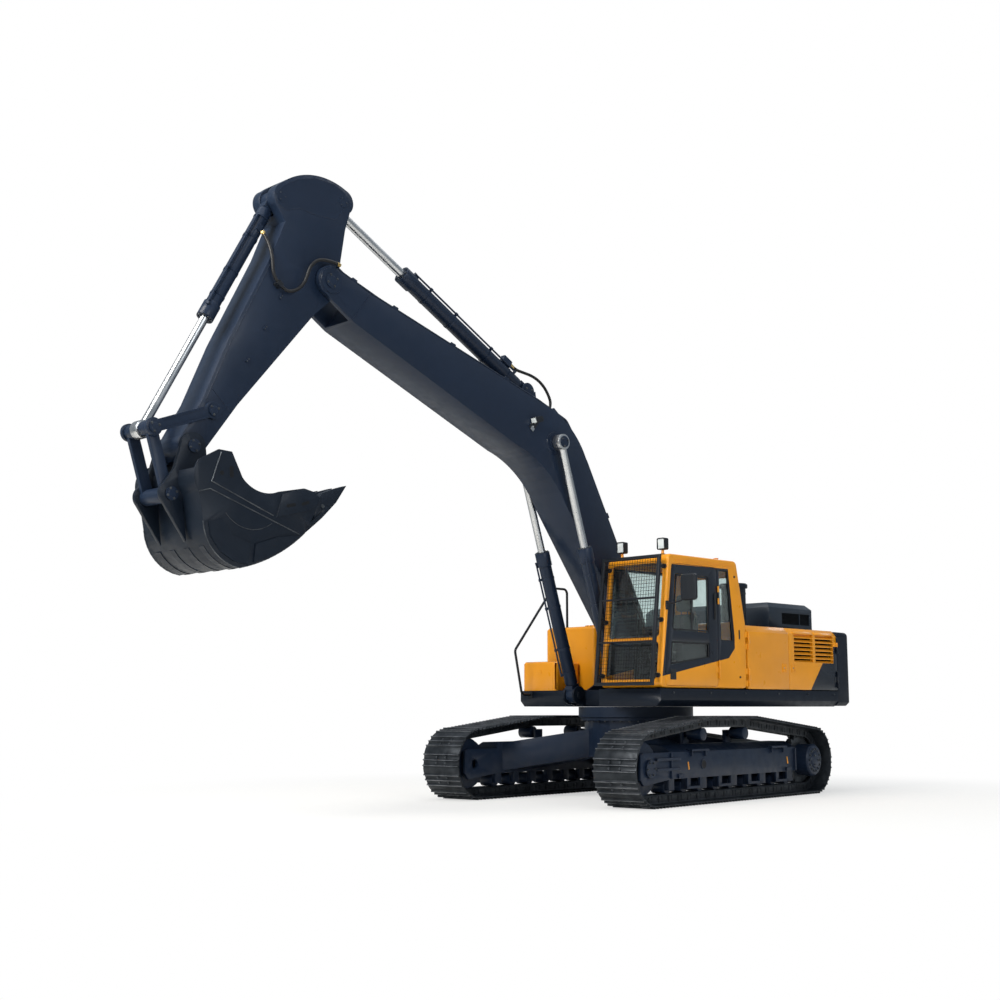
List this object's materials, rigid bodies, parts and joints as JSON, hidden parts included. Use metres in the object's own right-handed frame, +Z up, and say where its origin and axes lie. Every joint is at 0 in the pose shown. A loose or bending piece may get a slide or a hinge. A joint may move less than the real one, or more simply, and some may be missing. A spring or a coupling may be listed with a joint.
{
  "type": "crawler excavator",
  "caption": "Full-size crawler excavator with revolving upper, cab, opening panels, boom, arm and bucket linkage posed by jointed cylinders.",
  "frame": {"origin": "on the ground under the middle of the swing bearing", "axes": "+X forward for the upper, +Y to its cab side (left), +Z up; the undercarriage is turned 6 degrees about +Z under it"},
  "size_m": [11.0816, 3.8747, 7.0894],
  "materials": {
    "cab_amber": "warm amber gloss paint on sheet metal",
    "frame_navy": "dark navy semi-gloss paint on steel plate",
    "bucket_navy": "dark navy paint, scuffed at wear edges",
    "body_grey": "dark slate grey semi-gloss paint",
    "track_steel": "dull rolled steel, worn bright on grousers",
    "rod_chrome": "hard chrome plated rod",
    "machined_steel": "machined steel",
    "engine_iron": "plain dark block",
    "cab_glazing": "slightly tinted safety glass",
    "seat_fabric": "dark woven seat cloth",
    "console_plastic": "dark grained plastic",
    "guard_black": "black satin paint"
  },
  "bodies": {
    "undercarriage": {"track_left": "track_steel", "track_right": "track_steel", "front_idlers": "frame_navy", "drive_sprockets": "machined_steel", "final_drives": "frame_navy", "lower_rollers": "frame_navy", "carrier_rollers": "frame_navy", "track_frame_left": "frame_navy", "track_frame_right": "frame_navy", "car_body": "frame_navy", "swing_bearing": "frame_navy"},
    "upper": {"revolving_frame": "body_grey", "counterweight": "body_grey", "machinery_deck": "body_grey", "engine_block": "engine_iron", "fuel_tank": "cab_amber", "hydraulic_tank": "cab_amber", "tool_box": "cab_amber", "intake_stack": "body_grey", "cab_shell": "cab_amber", "cab_glass": "cab_glazing", "operator_seat": "seat_fabric", "control_consoles": "console_plastic", "travel_levers": "console_plastic", "front_guard": "guard_black", "cab_mirror": "guard_black", "work_lamps": "guard_black", "handrail": "guard_black", "cab_hinges": "cab_amber"},
    "cab_door": {"cab_door": "cab_amber", "door_glass": "cab_glazing"},
    "left_front_door": {"left_front_door": "cab_amber"},
    "left_rear_door": {"left_rear_door": "cab_amber"},
    "right_pump_door": {"right_pump_door": "cab_amber"},
    "engine_hood": {"engine_hood": "body_grey"},
    "boom": {"boom": "frame_navy", "boom_lamp": "guard_black", "boom_pipes": "frame_navy", "arm_cylinder_hose": "frame_navy"},
    "boom_barrels": {"boom_cylinder_barrels": "frame_navy"},
    "boom_rods": {"boom_cylinder_rods": "rod_chrome"},
    "arm": {"arm": "frame_navy"},
    "arm_barrel": {"arm_cylinder_barrel": "frame_navy"},
    "arm_rod": {"arm_cylinder_rod": "rod_chrome"},
    "bucket_barrel": {"bucket_cylinder_barrel": "frame_navy"},
    "bucket_rod": {"bucket_cylinder_rod": "rod_chrome"},
    "rocker": {"rocker_arms": "frame_navy"},
    "bucket_link": {"bucket_link": "frame_navy"},
    "bucket": {"bucket": "bucket_navy", "bucket_teeth": "bucket_navy"}
  },
  "joints": [
    {"name": "swing", "type": "hinge", "parent": "undercarriage", "child": "upper", "pos_m": [0, 0, 1.18], "axis": [0, 0, 1], "continuous": true},
    {"name": "boom_lift", "type": "hinge", "parent": "upper", "child": "boom", "pos_m": [0.12, 0, 1.95], "axis": [0, -1, 0], "range_deg": [-74, 23]},
    {"name": "boom_cylinder_tilt", "type": "hinge", "parent": "upper", "child": "boom_barrels", "pos_m": [0.82, 0, 1.333], "axis": [0, -1, 0], "range_deg": [-75.45, 23.59]},
    {"name": "boom_cylinder_stroke", "type": "slide", "parent": "boom_barrels", "child": "boom_rods", "axis": [0.3101, 0, 0.9507], "range_m": [-0.98926, 0.30885]},
    {"name": "arm_swing", "type": "hinge", "parent": "boom", "child": "arm", "pos_m": [5.49839, 0, 5.88639], "axis": [0, 1, 0], "range_deg": [-70, 38]},
    {"name": "arm_cylinder_tilt", "type": "hinge", "parent": "boom", "child": "arm_barrel", "pos_m": [2.16593, 0, 5.1823], "axis": [0, 1, 0], "range_deg": [-0.319, 0.265]},
    {"name": "arm_cylinder_stroke", "type": "slide", "parent": "arm_barrel", "child": "arm_rod", "axis": [0.8802, 0, 0.4745], "range_m": [-0.98843, 0.53749]},
    {"name": "bucket_curl", "type": "hinge", "parent": "arm", "child": "bucket", "pos_m": [7.20122, 0, 3.79106], "axis": [0, 1, 0], "range_deg": [-143, 13]},
    {"name": "rocker_swing", "type": "hinge", "parent": "arm", "child": "rocker", "pos_m": [6.97212, 0, 4.19505], "axis": [0, 1, 0], "range_deg": [-116.03, 10.73]},
    {"name": "link_swing", "type": "hinge", "parent": "rocker", "child": "bucket_link", "pos_m": [7.65697, 0, 3.9295], "axis": [0, 1, 0], "range_deg": [-5.14, 54.54]},
    {"name": "bucket_cylinder_tilt", "type": "hinge", "parent": "arm", "child": "bucket_barrel", "pos_m": [6.14902, 0, 6.72054], "axis": [0, 1, 0], "range_deg": [-0.26, 0.81]},
    {"name": "bucket_cylinder_stroke", "type": "slide", "parent": "bucket_barrel", "child": "bucket_rod", "axis": [0.4753, 0, -0.8798], "range_m": [-1.26239, 0.11658]},
    {"name": "cab_door_hinge", "type": "hinge", "parent": "upper", "child": "cab_door", "pos_m": [0.118, 1.505, 2.2], "axis": [0, 0, -1], "range_deg": [-168, 0]},
    {"name": "left_front_door_hinge", "type": "hinge", "parent": "upper", "child": "left_front_door", "pos_m": [-0.52, 1.505, 1.8], "axis": [0, 0, -1], "range_deg": [0, 92]},
    {"name": "left_rear_door_hinge", "type": "hinge", "parent": "upper", "child": "left_rear_door", "pos_m": [-2.64, 1.505, 1.8], "axis": [0, 0, 1], "range_deg": [0, 92]},
    {"name": "right_pump_door_hinge", "type": "hinge", "parent": "upper", "child": "right_pump_door", "pos_m": [-2.64, -1.505, 1.8], "axis": [0, 0, -1], "range_deg": [0, 92]},
    {"name": "engine_hood_hinge", "type": "hinge", "parent": "upper", "child": "engine_hood", "pos_m": [-1.565, 0, 2.265], "axis": [0, 1, 0], "range_deg": [0, 60]}
  ],
  "couplings": [
    {"joint": "boom_cylinder_tilt", "follows": "boom_lift", "ratio": 1.0169},
    {"joint": "boom_cylinder_stroke", "follows": "boom_lift", "m_per_rad": 0.7644},
    {"joint": "arm_cylinder_tilt", "follows": "arm_swing", "ratio": 0.0017},
    {"joint": "arm_cylinder_stroke", "follows": "arm_swing", "m_per_rad": 0.8074},
    {"joint": "rocker_swing", "follows": "bucket_curl", "ratio": 0.81},
    {"joint": "link_swing", "follows": "bucket_curl", "ratio": -0.38},
    {"joint": "bucket_cylinder_tilt", "follows": "bucket_curl", "ratio": -0.0043},
    {"joint": "bucket_cylinder_stroke", "follows": "bucket_curl", "m_per_rad": 0.505}
  ]
}
